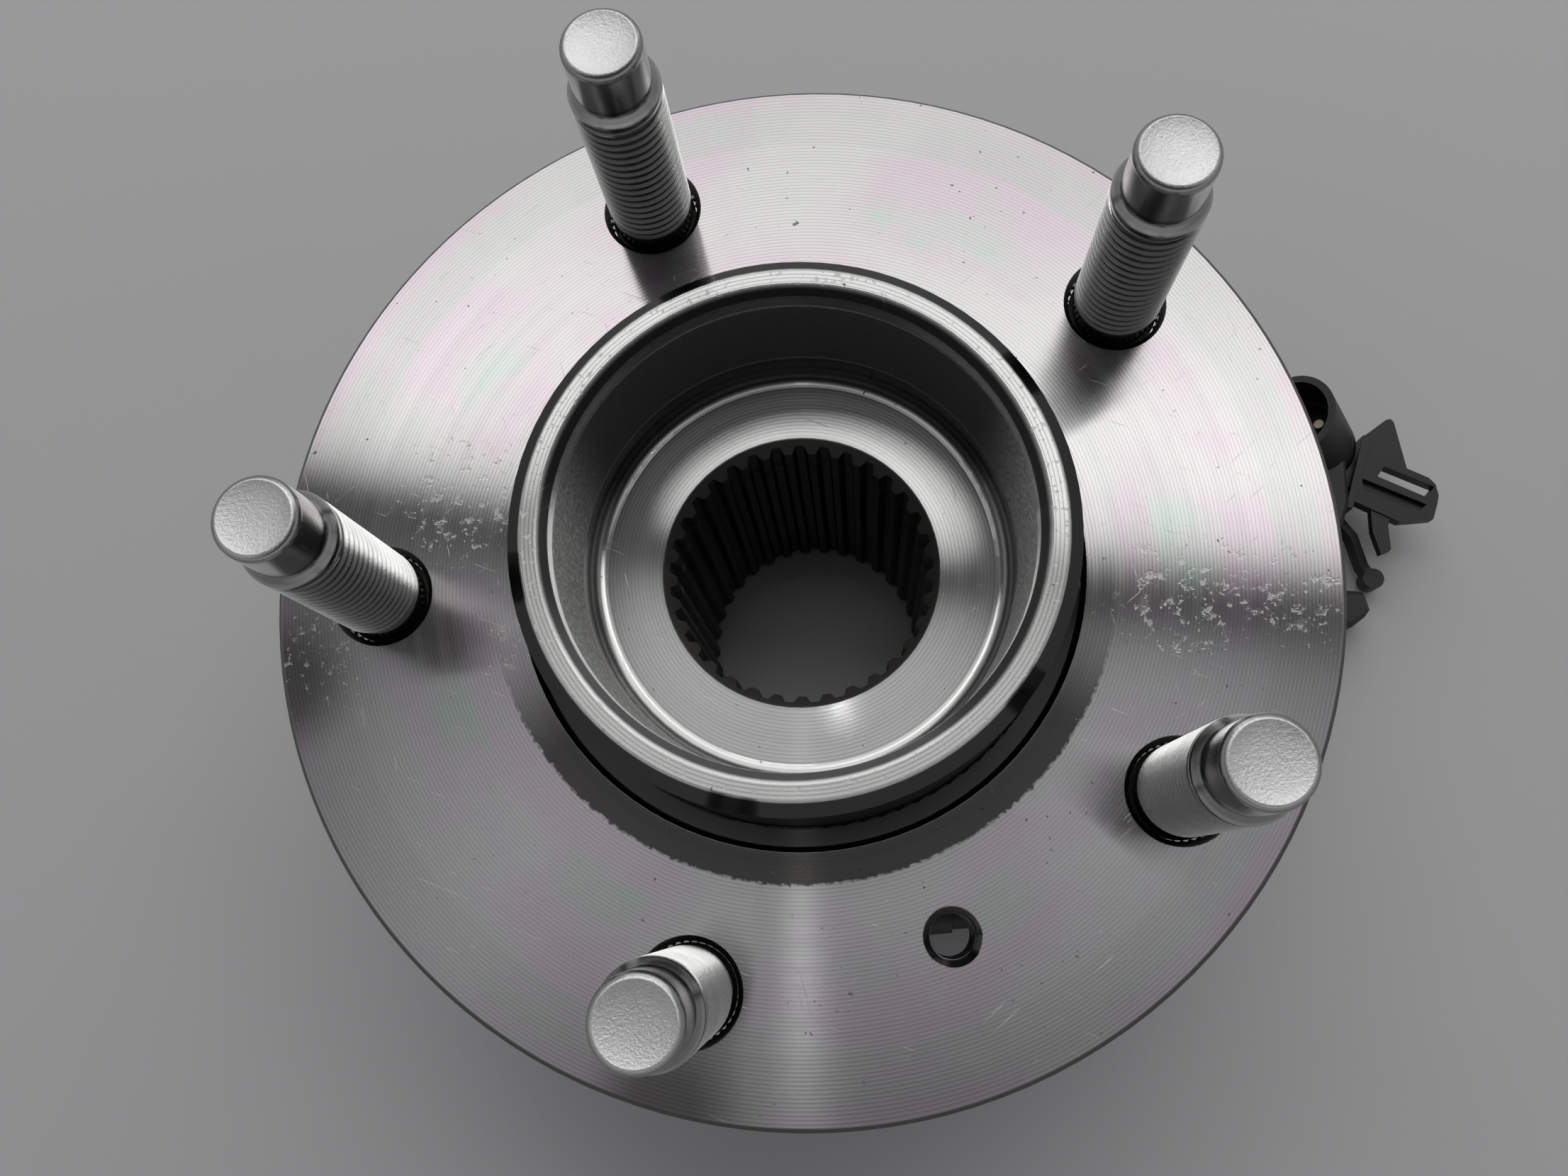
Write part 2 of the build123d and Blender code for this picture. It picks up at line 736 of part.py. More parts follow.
def make_clip():
    """The arrow clip that holds the connector in a bracket's hole."""
    base = [
        (-clip_base_thickness, -clip_base_half_width),
        (0.0, -clip_base_half_width),
        (0.0, clip_base_half_width),
        (-clip_base_thickness, clip_base_half_width),
    ]
    neck = [
        (-clip_neck_length, -clip_neck_half_width),
        (0.0, -clip_neck_half_width),
        (0.0, clip_neck_half_width),
        (-clip_neck_length, clip_neck_half_width),
    ]
    leaf_height = clip_height - 2 * clip_leaf_step
    clip = clip_prism(clip_spine, clip_bottom, clip_height)
    clip += clip_prism(clip_upper_leaf, clip_bottom + clip_leaf_step, leaf_height)
    clip += clip_prism(clip_lower_leaf, clip_bottom + clip_leaf_step, leaf_height)
    clip += clip_prism(base, clip_bottom - clip_base_drop, clip_base_drop + clip_height + clip_base_rise)
    clip += clip_prism(neck, clip_bottom, clip_height)
    clip -= clip_prism(clip_pocket, clip_bottom + clip_height - clip_pocket_depth, clip_pocket_depth)
    return clip - clip_prism(clip_slot, clip_bottom - 1, clip_height + 2)


def make_latch():
    """The springy latch arm beside the connector, with its round finger end."""
    arm = None
    for start, end in zip(latch_route, latch_route[1:]):
        angle = degrees(atan2(end[1] - start[1], end[0] - start[0]))
        length = (Vector(*end) - Vector(*start)).length
        piece = Rot(0, 0, angle) * Pos(length / 2, 0, latch_bottom + latch_height / 2) * Box(
            length + latch_width / 2, latch_width, latch_height
        )
        piece = Pos(start[0], start[1], 0) * piece
        arm = piece if arm is None else arm + piece
    return arm + upright(latch_knob_radius, latch_knob_centre, latch_bottom, latch_bottom + latch_height)


def write(name, shape):
    """One STEP file for one named piece."""
    export_step(shape, f"parts/{name}.step")


hub = make_hub()
lead = make_lead()
connector_clip = make_clip()
connector_housing = make_connector_housing() - connector_clip
connector_latch = make_latch() - connector_housing - connector_clip

write("hub_flange", hub)
write("inner_ring", make_inner_ring())
write("outer_ring", make_outer_ring())
for number, place in enumerate(stud_places(), 1):
    write(f"wheel_stud_{number}", make_stud(place))
for name, height, side in (("wheel_side", wheel_row_height, 1), ("knuckle_side", knuckle_row_height, -1)):
    write(f"{name}_balls", make_balls(height))
    write(f"{name}_cage", make_cage(height, side))
    write(f"{name}_seal_case", make_seal_case(height, side))
    write(f"{name}_seal_lip", make_seal_lip(height, side))
    write(f"{name}_slinger", make_slinger(height, side))
write("tone_ring", make_tone_ring())
write("sensor_cap", make_cap())
write("sensor_body", make_sensor_body())
write("sensor_chip", make_sensor_chip())
write("sensor_magnet", make_sensor_magnet())
write("sensor_grommet", make_grommet())
write("sensor_lead", lead)
write("lead_clip", make_lead_clip(lead))
write("connector_housing", connector_housing)
write("connector_rear_cover", make_rear_cover())
write("connector_terminals", make_terminals())
write("connector_mouth_seal", make_mouth_seal())
write("connector_clip", connector_clip)
write("connector_latch", connector_latch)
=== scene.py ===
import json
import math
from types import SimpleNamespace

import bmesh
import bpy
from mathutils import Matrix, Quaternion, Vector


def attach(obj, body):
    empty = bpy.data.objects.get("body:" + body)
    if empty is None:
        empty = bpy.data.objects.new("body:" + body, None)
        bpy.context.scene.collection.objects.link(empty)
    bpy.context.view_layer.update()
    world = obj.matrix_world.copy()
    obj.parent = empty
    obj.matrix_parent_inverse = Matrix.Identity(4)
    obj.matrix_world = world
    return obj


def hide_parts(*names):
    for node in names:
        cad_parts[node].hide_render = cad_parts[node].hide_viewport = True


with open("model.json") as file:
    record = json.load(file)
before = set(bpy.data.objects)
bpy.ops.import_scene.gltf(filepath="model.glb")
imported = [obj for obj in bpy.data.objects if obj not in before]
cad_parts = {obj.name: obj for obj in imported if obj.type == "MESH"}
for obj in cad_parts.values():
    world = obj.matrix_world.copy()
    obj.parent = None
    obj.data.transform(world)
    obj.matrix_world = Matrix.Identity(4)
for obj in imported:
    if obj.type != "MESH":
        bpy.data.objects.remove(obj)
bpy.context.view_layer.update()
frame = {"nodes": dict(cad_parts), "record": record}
mm = 0.001
weld = 0.000001  # points closer than this become one

view = {
    "place": (0.0061517, -0.0433959, 0.2299207),  # metres
    "turn": (0.9924065, 0.1158831, 0.0279784, -0.0302921),  # quaternion
    "lens": 29.4611,
    "sensor": 36.0,
    "nearest": 0.01,
}


def addCamera():
    lens = bpy.data.cameras.new("mainLens")
    lens.sensor_width = view["sensor"]
    lens.lens = view["lens"]
    lens.clip_start = view["nearest"]
    camera = bpy.data.objects.new("mainCamera", lens)
    turn = Quaternion(view["turn"]).to_matrix().to_4x4()
    camera.matrix_world = Matrix.Translation(view["place"]) @ turn
    bpy.context.scene.collection.objects.link(camera)
    bpy.context.scene.camera = camera


class Wire:
    # an output socket that can be used in sums
    def __init__(self, nodes, socket):
        self.nodes = nodes
        self.socket = socket

    def maths(self, operation, *others):
        return self.nodes.maths(operation, self, *others)

    def __add__(self, other):
        return self.maths("ADD", other)

    def __radd__(self, other):
        return self.maths("ADD", other)

    def __sub__(self, other):
        return self.maths("SUBTRACT", other)

    def __rsub__(self, other):
        return self.nodes.maths("SUBTRACT", other, self)

    def __mul__(self, other):
        return self.maths("MULTIPLY", other)

    def __rmul__(self, other):
        return self.maths("MULTIPLY", other)

    def __truediv__(self, other):
        return self.maths("DIVIDE", other)

    def __rtruediv__(self, other):
        return self.nodes.maths("DIVIDE", other, self)

    def __pow__(self, other):
        return self.maths("POWER", other)

    def ramp(self, low, high):
        # 0 below low, 1 above high, smooth between
        sockets = {"Value": self, "From Min": low, "From Max": high}
        return self.nodes.node("ShaderNodeMapRange", {"interpolation_type": "SMOOTHSTEP"}, sockets)

    def within(self, rise, fall):
        # 1 between the two stretches, fading over each; None leaves that side open
        inside = self.ramp(*rise) if rise else 1
        return inside * (1 - self.ramp(*fall)) if fall else inside

    def strongest(self, *others):
        mask = self
        for other in others:
            mask = mask.maths("MAXIMUM", other)
        return mask


class Nodes:
    def __init__(self, tree):
        self.tree = tree

    def node(self, kind, settings=None, sockets=None, output=0):
        made = self.tree.nodes.new(kind)
        for name, value in (settings or {}).items():
            setattr(made, name, value)
        for name, value in (sockets or {}).items():
            self.join(made.inputs[name], value)
        return Wire(self, made.outputs[output])

    def join(self, socket, value):
        if isinstance(value, Wire):
            self.tree.links.new(value.socket, socket)
        elif isinstance(value, tuple) and len(value) == 3 and socket.type == "RGBA":
            socket.default_value = (*value, 1)
        else:
            socket.default_value = value

    def maths(self, operation, *values):
        return self.node("ShaderNodeMath", {"operation": operation}, dict(enumerate(values)))

    def split(self, vector):
        x = self.node("ShaderNodeSeparateXYZ", None, {0: vector})
        return [Wire(self, part) for part in x.socket.node.outputs]

    def vector(self, x, y, z):
        return self.node("ShaderNodeCombineXYZ", None, {0: x, 1: y, 2: z})

    def noise(self, vector, scale, detail=3.0, rough=0.55):
        sockets = {"Vector": vector, "Scale": scale, "Detail": detail, "Roughness": rough}
        return self.node("ShaderNodeTexNoise", None, sockets)

    def tint(self, mask, first, second):
        return self.node("ShaderNodeMix", {"data_type": "RGBA"}, {0: mask, 6: first, 7: second}, output=2)

    def layered(self, tone, layers):
        # each layer is a mask and the tone that shows where the mask is 1
        for mask, cover in layers:
            tone = self.tint(mask, tone, cover)
        return tone

    def scratches(self, vector, runs):
        # short fine lines; a run is an angle, the scales along and across, and the ramp that picks them out
        masks = []
        for angle, along, across, low, high in runs:
            sockets = {"Vector": vector, "Angle": math.radians(angle)}
            rotated = self.node("ShaderNodeVectorRotate", {"rotation_type": "Z_AXIS"}, sockets)
            sockets = {"Vector": rotated, "Scale": (along, across, along)}
            stretched = self.node("ShaderNodeMapping", None, sockets)
            masks.append(self.noise(stretched, 1.0, 2.0).ramp(low, high))
        return masks[0].strongest(*masks[1:])

    def near(self, x, y, centre, inner, outer):
        # 1 within the inner radius of a spot, 0 beyond the outer one
        along = x - centre[0]
        across = y - centre[1]
        return 1 - (along * along + across * across).maths("SQRT").ramp(inner, outer)

    def patches(self, x, y, spots):
        masks = [self.near(x, y, spot[:2], *spot[2:]) for spot in spots]
        return masks[0].strongest(*masks[1:])


class Finish(Nodes):
    def __init__(self, name):
        self.material = bpy.data.materials.new(name)
        self.material.use_nodes = True
        super().__init__(self.material.node_tree)
        self.shader = self.tree.nodes["Principled BSDF"]

    def place(self):
        # the point on the piece, in millimetres
        spot = self.node("ShaderNodeTexCoord", output="Object")
        return self.node("ShaderNodeVectorMath", {"operation": "SCALE"}, {0: spot, "Scale": 1 / mm})

    def bump(self, height, strength, distance, under=None):
        sockets = {"Height": height, "Strength": strength, "Distance": distance}
        if under is not None:
            sockets["Normal"] = under
        return self.node("ShaderNodeBump", None, sockets)

    def set(self, **sockets):
        for name, value in sockets.items():
            self.join(self.shader.inputs[name.replace("_", " ")], value)


studio = {
    "aimHeight": 0.06,  # the lamps point at this height on the spin axis
    "floorSize": 6.0,
    "floorTone": (0.6, 0.595, 0.61),
    "floorShade": 0.96,  # how much darker its clouds are
    "skyLow": (0.42, 0.42, 0.43),  # far from straight up
    "skyLowEnd": (0.45, 0.7),
    "skyTop": (0.52, 0.52, 0.535),  # overhead
    "skyTopStart": (0.89, 0.95),
    "skyDark": (0.055, 0.055, 0.057),  # between
    "skySplit": (0.19, 0.24),  # where the overhead part ends towards the softboxes
    "skySlant": 0.18,
    "skyFront": (-0.14, -0.08),  # and towards -Y
    "softboxReach": 1.25,  # how far the softboxes stand off
    "softboxTurn": 10.1,  # from +Y towards +X
    "softboxTone": (1.0, 0.995, 0.98),
    "softboxes": [
        # tilt of the middle from straight up, size and power
        (22.2, (1.6, 0.254), 2.55),
        (50.5, (1.6, 1.035), 5.8),
    ],
    "glintPlace": (-0.062, -0.116, 1.2),
    "glintSize": (0.03, 0.03),
    "glintTone": (1.0, 1.0, 1.0),
    "glintPower": 0.016,
    "borePlace": (0.0, 0.1, 1.2),
    "borePower": 1.2,
    "boreSpread": 1.6,  # degrees, just the bore
    "boreBlend": 0.4,
    "boreSource": 0.01,
}


def aimLamp(name, lamp, place):
    holder = bpy.data.objects.new(name, lamp)
    away = (Vector(place) - Vector((0, 0, studio["aimHeight"]))).normalized()
    turn = away.to_track_quat("Z", "Y").to_matrix().to_4x4()
    holder.matrix_world = Matrix.Translation(place) @ turn
    bpy.context.scene.collection.objects.link(holder)


def addPanel(name, place, size, power, tone):
    lamp = bpy.data.lights.new(name, "AREA")
    lamp.shape = "RECTANGLE"
    lamp.size, lamp.size_y = size
    lamp.energy = power
    lamp.color = tone
    aimLamp(name, lamp, place)


def addSoftboxes():
    side = math.radians(studio["softboxTurn"])
    reach = studio["softboxReach"]
    for tilt, size, power in studio["softboxes"]:
        away = reach * math.sin(math.radians(tilt))
        height = studio["aimHeight"] + reach * math.cos(math.radians(tilt))
        place = (away * math.sin(side), away * math.cos(side), height)
        addPanel("softbox", place, size, power, studio["softboxTone"])


def addBoreLamp():
    lamp = bpy.data.lights.new("boreLamp", "SPOT")
    lamp.energy = studio["borePower"]
    lamp.spot_size = math.radians(studio["boreSpread"])
    lamp.spot_blend = studio["boreBlend"]
    lamp.shadow_soft_size = studio["boreSource"]
    aimLamp("boreLamp", lamp, studio["borePlace"])


def addSky():
    world = bpy.data.worlds.new("studioSky")
    world.use_nodes = True
    sky = Nodes(world.node_tree)
    side, back, up = sky.split(sky.node("ShaderNodeTexCoord", output="Generated"))
    top = 1 - (back + side * studio["skySlant"]).ramp(*studio["skySplit"])
    top = top * back.ramp(*studio["skyFront"]) * up.ramp(*studio["skyTopStart"])
    tone = sky.tint(top, studio["skyDark"], studio["skyTop"])
    tone = sky.tint(up.ramp(*studio["skyLowEnd"]), studio["skyLow"], tone)
    sky.join(world.node_tree.nodes["Background"].inputs["Color"], tone)
    bpy.context.scene.world = world


def floorFinish():
    finish = Finish("paleFloor")
    point = finish.place()
    cloud = finish.noise(point, 0.02, 3.0)
    tone = studio["floorTone"]
    shade = tuple(part * studio["floorShade"] for part in tone)
    finish.set(Base_Color=finish.tint(cloud * 0.3, tone, shade), Roughness=0.9)
    finish.set(Normal=finish.bump(finish.noise(point, 1.2, 3.0), 0.1, 0.0001))
    return finish.material


def addFloor():
    bpy.ops.mesh.primitive_plane_add(size=studio["floorSize"], location=(0, 0, 0))
    floor = bpy.context.object
    floor.name = "floor"
    floor.data.materials.append(floorFinish())


bpy.context.scene.view_settings.view_transform = "Standard"
addCamera()
addSoftboxes()
addPanel("glint", studio["glintPlace"], studio["glintSize"], studio["glintPower"], studio["glintTone"])
addBoreLamp()
addSky()
addFloor()
print("camera, floor and lights are in")


def zonesOf(radius, height, places):
    # how far a point lies on each surface of a turned piece, from 0 to 1
    masks = {}
    for name, (inner, outer, bottom, top) in places.items():
        masks[name] = radius.within(inner, outer) * height.within(bottom, top)
    return SimpleNamespace(**masks)


stud = {
    "circle": 57.5,
    "firstAngle": 36.6,
    "count": 5,
    # each corner is a radius and a height, in millimetres
    "body": [
        # head, under the flange
        (0.0, 48.9),
        (3.2, 48.9),
        (3.8, 48.5),
        (7.6, 48.5),
        (8.2, 48.75),
        (8.4, 49.3),
        (8.4, 51.9),
        (8.2, 52.35),
        (7.8, 52.5),
        # pressed shank, and the core of the thread
        (6.15, 52.5),
        (6.15, 59.6),
        (5.6, 60.3),
        (5.6, 64.1),
        (5.0, 64.7),
        (5.0, 89.75),
        # collar above the thread
        (5.5, 90.0),
        (5.86, 90.25),
        (5.93, 90.5),
        (5.93, 91.3),
        (5.84, 91.6),
        # neck and pilot end
        (5.2, 92.25),
        (5.02, 92.6),
        (5.0, 93.0),
        (5.0, 99.2),
        (4.93, 99.6),
        (4.72, 99.9),
        (4.42, 100.06),
        (4.24, 100.1),
        # dished end
        (4.05, 100.03),
        (3.4, 99.85),
        (2.4, 99.68),
        (1.2, 99.58),
        (0.0, 99.55),
    ],
    "bodySteps": 56,
    "bodySmooth": 32,  # degrees
    "rootRadius": 5.1,
    "crestRadius": 5.97,
    "pitch": 1.5,
    "crestFlat": 0.2,
    "rootFlat": 0.36,
    "threadFrom": 64.2,
    "threadTo": 89.9,
    "threadSteps": 44,
    "threadSmooth": 35,  # degrees
    "knurlTeeth": 36,
    "knurlTip": 6.39,
    "knurlValley": 6.1,
    "knurlFrom": 52.8,
    "knurlTo": 59.5,
}


def fromStud(x, y, radius):
    # steps from the axis of the nearest stud, out along its radius and around
    share = 2 * math.pi / stud["count"]
    around = y.maths("ARCTAN2", x) - (math.radians(stud["firstAngle"]) - share / 2)
    around = around.maths("FLOORED_MODULO", share) - share / 2
    return radius * around.maths("COSINE") - stud["circle"], radius * around.maths("SINE")


turned = {
    "steel": (0.5, 0.497, 0.5),
    "rose": (0.55, 0.45, 0.52),
    "green": (0.43, 0.52, 0.47),
    "dullSteel": (0.26, 0.255, 0.25),
    "scale": (0.05, 0.047, 0.043),  # oxide left from forging; also the tone of the painted shadow of the pilot, and of the dark spline, stud seats and screw bevel
    # tone of painted shade and painted dark reflections
    "paintedShadeTone": (0.025, 0.025, 0.025),
    "pale": (0.72, 0.72, 0.71),
    # real stains, and also the tone of the painted dark reflections near the rim
    "stainAndDarkReflection": (0.12, 0.117, 0.113),
    "grit": [(0.3, 0.295, 0.285), (0.64, 0.63, 0.62)],
    "polish": 0.125,
    "feed": 0.5,  # the cutting tool's step
    "grain": 1.0,
    "grainTurn": 0.25,  # quarter turn, across the tool marks
    "screwHole": (16.54, -49.72),
    "screwPitch": 1.0,
    "screwWall": (5.25, 5.35),
    "screwTop": (60.8, 61.2),
    "screwBevel": (6.1, 6.25),
    "studSeat": (6.95, 7.1),
    "seatTop": (61.88, 61.98),
    "scratches": [
        (24, 0.1, 4.5, 0.74, 0.77),
        (-38, 0.12, 5.2, 0.745, 0.775),
        (78, 0.1, 4.0, 0.75, 0.78),
    ],
    # place, inner and outer radius of each spot
    "specks": [
        (-46.0, 12.8, 5.0, 14.0),
        (-66.0, -8.0, 4.0, 11.0),
        (-38.5, -9.0, 2.0, 7.0),
        (51.0, -8.0, 6.0, 14.0),
        (66.0, -9.0, 4.0, 11.0),
    ],
    # painted dark reflections near the rim
    "paintedDarkReflections": [(-21.0, -68.0, 3.0, 12.0), (-71.0, -12.0, 3.0, 12.0)],
    "pilotShadowEdge": (42.9, 43.3),  # how far the painted shadow of the pilot reaches out from it
    "pilotShadowSide": (0.15, 0.6),  # the painted shadow of the pilot falls mostly towards -Y, away from the softboxes
    "wallShade": (0.05, 0.55),  # painted shade on the recess walls towards +Y, which face away from the softboxes
    # the stretches over which each surface begins and ends, in millimetres: inner, outer, bottom, top
    "zones": {
        "face": ((38.0, 38.6), None, (61.6, 61.9), None),
        "edge": ((63.1, 63.3), None, (61.6, 61.9), None),
        "rim": ((71.5, 71.7), None, (56.0, 58.0), None),
        "land": (None, None, (81.5, 81.65), None),  # top of the pilot
        "crown": ((29.84, 29.96), (31.19, 31.31), (77.85, 78.15), (81.3, 81.6)),
        "outside": ((33.25, 33.45), (35.9, 36.1), (61.42, 61.58), (81.42, 81.58)),
        "foot": ((34.3, 34.7), (38.1, 38.5), (60.0, 60.5), (61.7, 61.95)),
        "wall": ((25.85, 26.15), (30.45, 30.75), (63.0, 64.0), (77.9, 78.9)),  # of the recess
        "low": ((27.4, 27.8), (29.2, 29.6), (58.1, 58.7), (63.2, 63.8)),
        "ledge": ((19.5, 19.7), (27.9, 28.1), (57.4, 57.8), (58.6, 59.0)),
        "spline": (None, (19.2, 19.4), None, (58.1, 58.3)),
        "back": ((37.0, 41.0), None, None, (53.9, 54.4)),
        "root": (None, None, (48.9, 50.4), (52.2, 52.8)),
    },
}


def screwThread(finish, x, y, z):
    # height of the thread cut in the disc-screw hole
    along = x - turned["screwHole"][0]
    across = y - turned["screwHole"][1]
    turn = across.maths("ARCTAN2", along) / (2 * math.pi)
    wave = (z / turned["screwPitch"] + turn).maths("PINGPONG", 0.5) * 2  # 0 to 1 and back in a pitch
    wall = finish.near(x, y, turned["screwHole"], *turned["screwWall"])
    return wave * wall * (1 - z.ramp(*turned["screwTop"]))


def latheMarks(finish, point, radius, z):
    # the feed, and finer and wider lines between
    drift = finish.noise(point, 0.05, 2.0)
    feed = (radius / turned["feed"] + drift * 0.8).maths("PINGPONG", 0.5) * 2
    lines = finish.noise(finish.vector(radius + drift * 0.1, 0.0, z), 5.0, 4.0, 0.75)
    wide = finish.noise(finish.vector(radius, 0.0, z), 0.45, 3.0, 0.6)
    return feed, lines, wide


def hubWear(finish, point, x, y, on, dust):
    # scratches, specks on the face, nicks on the pilot's land and a haze round the specks
    cloud = finish.noise(point, 0.5, 4.0, 0.65)
    zone = finish.patches(x, y, turned["specks"])
    specks = (dust + zone * (cloud - 0.34) * 0.7).ramp(0.75, 0.78) * on.face
    nicks = (dust + cloud * 0.3).ramp(0.76, 0.79) * on.land
    haze = (cloud + zone * 0.08).ramp(0.64, 0.72) * zone * on.face * 0.2
    return finish.scratches(point, turned["scratches"]).strongest(specks, nicks, haze)


def hubFinish():
    finish = Finish("turnedSteel")
    point = finish.place()
    x, y, z = finish.split(point)
    radius = (x * x + y * y) ** 0.5
    on = zonesOf(radius, z, turned["zones"])
    seat = finish.near(*fromStud(x, y, radius), (0, 0), *turned["studSeat"])
    hole = finish.near(x, y, turned["screwHole"], *turned["screwBevel"])
    cutting = on.face.strongest(on.land, on.ledge)
    slow = finish.noise(point, 0.045, 3.0)
    fine = finish.noise(point, 2.6, 4.0, 0.65)
    dust = finish.noise(point, 1.3, 3.0, 0.6)
    grit = finish.noise(point, 1.7, 3.0, 0.7)
    feed, lines, wide = latheMarks(finish, point, radius, z)
    worn = hubWear(finish, point, x, y, on, dust)
    # painted dark reflections near the rim
    paintedDarkReflection = finish.patches(x, y, turned["paintedDarkReflections"])
    stains = finish.noise(point, 0.8, 2.0).ramp(0.735, 0.76) * cutting
    # painted shadow of the pilot on the face, towards -Y, away from the softboxes
    pilotShadow = on.face * (0 - y / radius).ramp(*turned["pilotShadowSide"])
    pilotShadow = pilotShadow * (1 - (radius + dust * 1.3).ramp(*turned["pilotShadowEdge"]))
    # colour
    hue = finish.noise(finish.vector(radius * 0.18, slow * 3.0, 0.0), 0.5, 2.0)
    sheen = finish.tint(hue.ramp(0.4, 0.6), turned["green"], turned["rose"])
    coarse = finish.tint(grit.ramp(0.42, 0.64), *turned["grit"])
    forged = finish.tint(fine.ramp(0.4, 0.75) * 0.7, turned["scale"], turned["dullSteel"])
    # painted shade and painted dark reflections: the pilot's outer wall, the groove at its foot, the inner
    # chamfer of its top and the flange's rim
    dark = on.outside.strongest(on.foot, on.crown, on.rim * 0.85)
    # painted shade on the recess walls towards +Y
    shade = on.wall.strongest(on.low) * (y / radius).ramp(*turned["wallShade"])
    socket = seat.strongest(hole) * (1 - z.ramp(*turned["seatTop"]))
    layers = [
        (wide * 0.3 + lines.ramp(0.5, 0.75) * 0.3, turned["pale"]),  # rings
        (on.face * slow.ramp(0.4, 0.62) * 0.7, sheen),
        (on.land * 0.9 + on.ledge * 0.5, turned["pale"]),
        (cutting * feed.ramp(0.5, 0.95) * (0.38 + on.land * 0.2), turned["dullSteel"]),  # bottoms of the feed
        (on.edge * wide * 0.15, turned["dullSteel"]),
        # painted shadow of the pilot
        (pilotShadow * 0.92, turned["scale"]),
        # painted dark reflections near the rim
        (on.face * paintedDarkReflection * 0.75, turned["stainAndDarkReflection"]),
        (worn * 0.8, turned["pale"]),
        (stains * 0.7, turned["stainAndDarkReflection"]),
        # painted shade and painted dark reflections on the pilot's walls and the flange's rim
        (dark * 0.93, turned["paintedShadeTone"]),
        (on.low * 0.45, turned["dullSteel"]),
        (on.wall * 0.95, coarse),
        # painted shade in the recess
        (shade * 0.96, turned["paintedShadeTone"]),
        (on.root * 0.92, forged),
        (on.spline * 0.95, turned["scale"]),
        (socket * 0.9, turned["scale"]),
        (on.back * slow.ramp(0.35, 0.6) * 0.5, forged),
    ]
    # gloss
    rough = turned["polish"] + wide * 0.08 + worn * 0.14 + on.land * 0.1 + stains * 0.2
    rough = rough + on.wall * 0.35 + on.spline * 0.15 + on.root * 0.2 + on.back * 0.12
    # height
    cuts = finish.bump(lines * 0.4 + feed * cutting, 0.3, 0.000008)
    scars = finish.bump(1 - worn, 0.3, 0.00004, cuts)
    rugged = finish.bump((fine + grit) * on.wall.strongest(on.root), 0.6, 0.00014, scars)
    thread = finish.bump(screwThread(finish, x, y, z), 1.0, 0.0004, rugged)
    finish.set(Base_Color=finish.layered(turned["steel"], layers), Roughness=rough, Normal=thread)
    finish.set(Metallic=1 - on.wall, Anisotropic=turned["grain"], Anisotropic_Rotation=turned["grainTurn"])
    return finish.material


handling = [(35, 0.2, 5.0, 0.68, 0.74), (-52, 0.25, 4.4, 0.69, 0.75)]  # scratches from handling


def plainSteel(name, tone, dark, polish, spread, grain, lift):
    # rolled, ground or stamped steel with a fine grain and handling marks
    finish = Finish(name)
    point = finish.place()
    slow = finish.noise(point, 0.12, 3.0)
    fine = finish.noise(point, grain, 4.0, 0.65)
    marks = finish.scratches(point, handling)
    layers = [(slow.ramp(0.35, 0.7) * 0.6, dark), (fine.ramp(0.55, 0.8) * 0.35, dark)]
    finish.set(Base_Color=finish.layered(tone, layers))
    finish.set(Roughness=polish + slow * spread + fine * 0.08 + marks * 0.12)
    finish.set(Normal=finish.bump(fine - marks * 0.4, 0.4, lift), Metallic=1.0)
    return finish.material


plating = {
    "zinc": (0.82, 0.82, 0.806),
    "worn": (0.56, 0.56, 0.55),
    "struck": (0.78, 0.78, 0.79),
    # tone of painted shade and painted dark reflections on the studs
    "valley": (0.04, 0.039, 0.037),
    "polish": 0.13,
    "scratches": [(35, 0.2, 5.0, 0.7, 0.75)],
    # radii from the stud's own axis, in the same order as the hub's
    "zones": {
        "head": (None, None, None, (52.4, 52.8)),
        "shank": (None, None, (59.5, 60.1), (64.3, 64.9)),
        "cut": (None, None, (59.6, 60.0), (89.6, 90.0)),
        "valley": (None, (5.46, 5.74), (59.6, 60.0), (89.6, 90.0)),
        "collar": (None, None, (89.8, 90.2), (92.1, 92.5)),
        "neck": (None, None, (91.4, 92.0), (93.1, 93.7)),
        "tip": (None, None, (98.9, 99.4), None),
        "rim": ((4.3, 4.6), None, (98.9, 99.4), None),
    },
}


def studFinish():
    finish = Finish("zincPlate")
    point = finish.place()
    x, y, z = finish.split(point)
    along, across = fromStud(x, y, (x * x + y * y) ** 0.5)
    on = zonesOf((along * along + across * across) ** 0.5, z, plating["zones"])
    slow = finish.noise(point, 0.12, 3.0)
    fine = finish.noise(point, 4.0, 4.0, 0.65)
    grain = finish.noise(point, 2.8, 4.0, 0.75)
    end = on.tip * (1 - on.rim)
    marks = finish.scratches(point, plating["scratches"]) * (1 - on.cut)
    # painted shade and painted dark reflections: the thread's valleys, the shank's foot, the neck, the collar
    # and the tip's rim
    dark = on.valley.strongest(on.neck * 0.6, on.shank * 0.6, on.rim * 0.6, on.collar * 0.4)
    layers = [
        (slow.ramp(0.35, 0.7) * 0.5, plating["worn"]),
        (fine.ramp(0.52, 0.78) * 0.4, plating["worn"]),
        (dark * 0.92, plating["valley"]),
        (end * (1 - grain.ramp(0.4, 0.7) * 0.7), plating["struck"]),
    ]
    rough = plating["polish"] + slow * 0.1 + fine * 0.08 + marks * 0.12
    rough = rough + end * grain * 0.14 + on.head * 0.12
    lift = fine * 0.5 - marks * 0.3 + grain * (end * 7.0 + 0.4)
    finish.set(Base_Color=finish.layered(plating["zinc"], layers), Roughness=rough, Metallic=1.0)
    finish.set(Normal=finish.bump(lift, 0.6, 0.00003))
    return finish.material


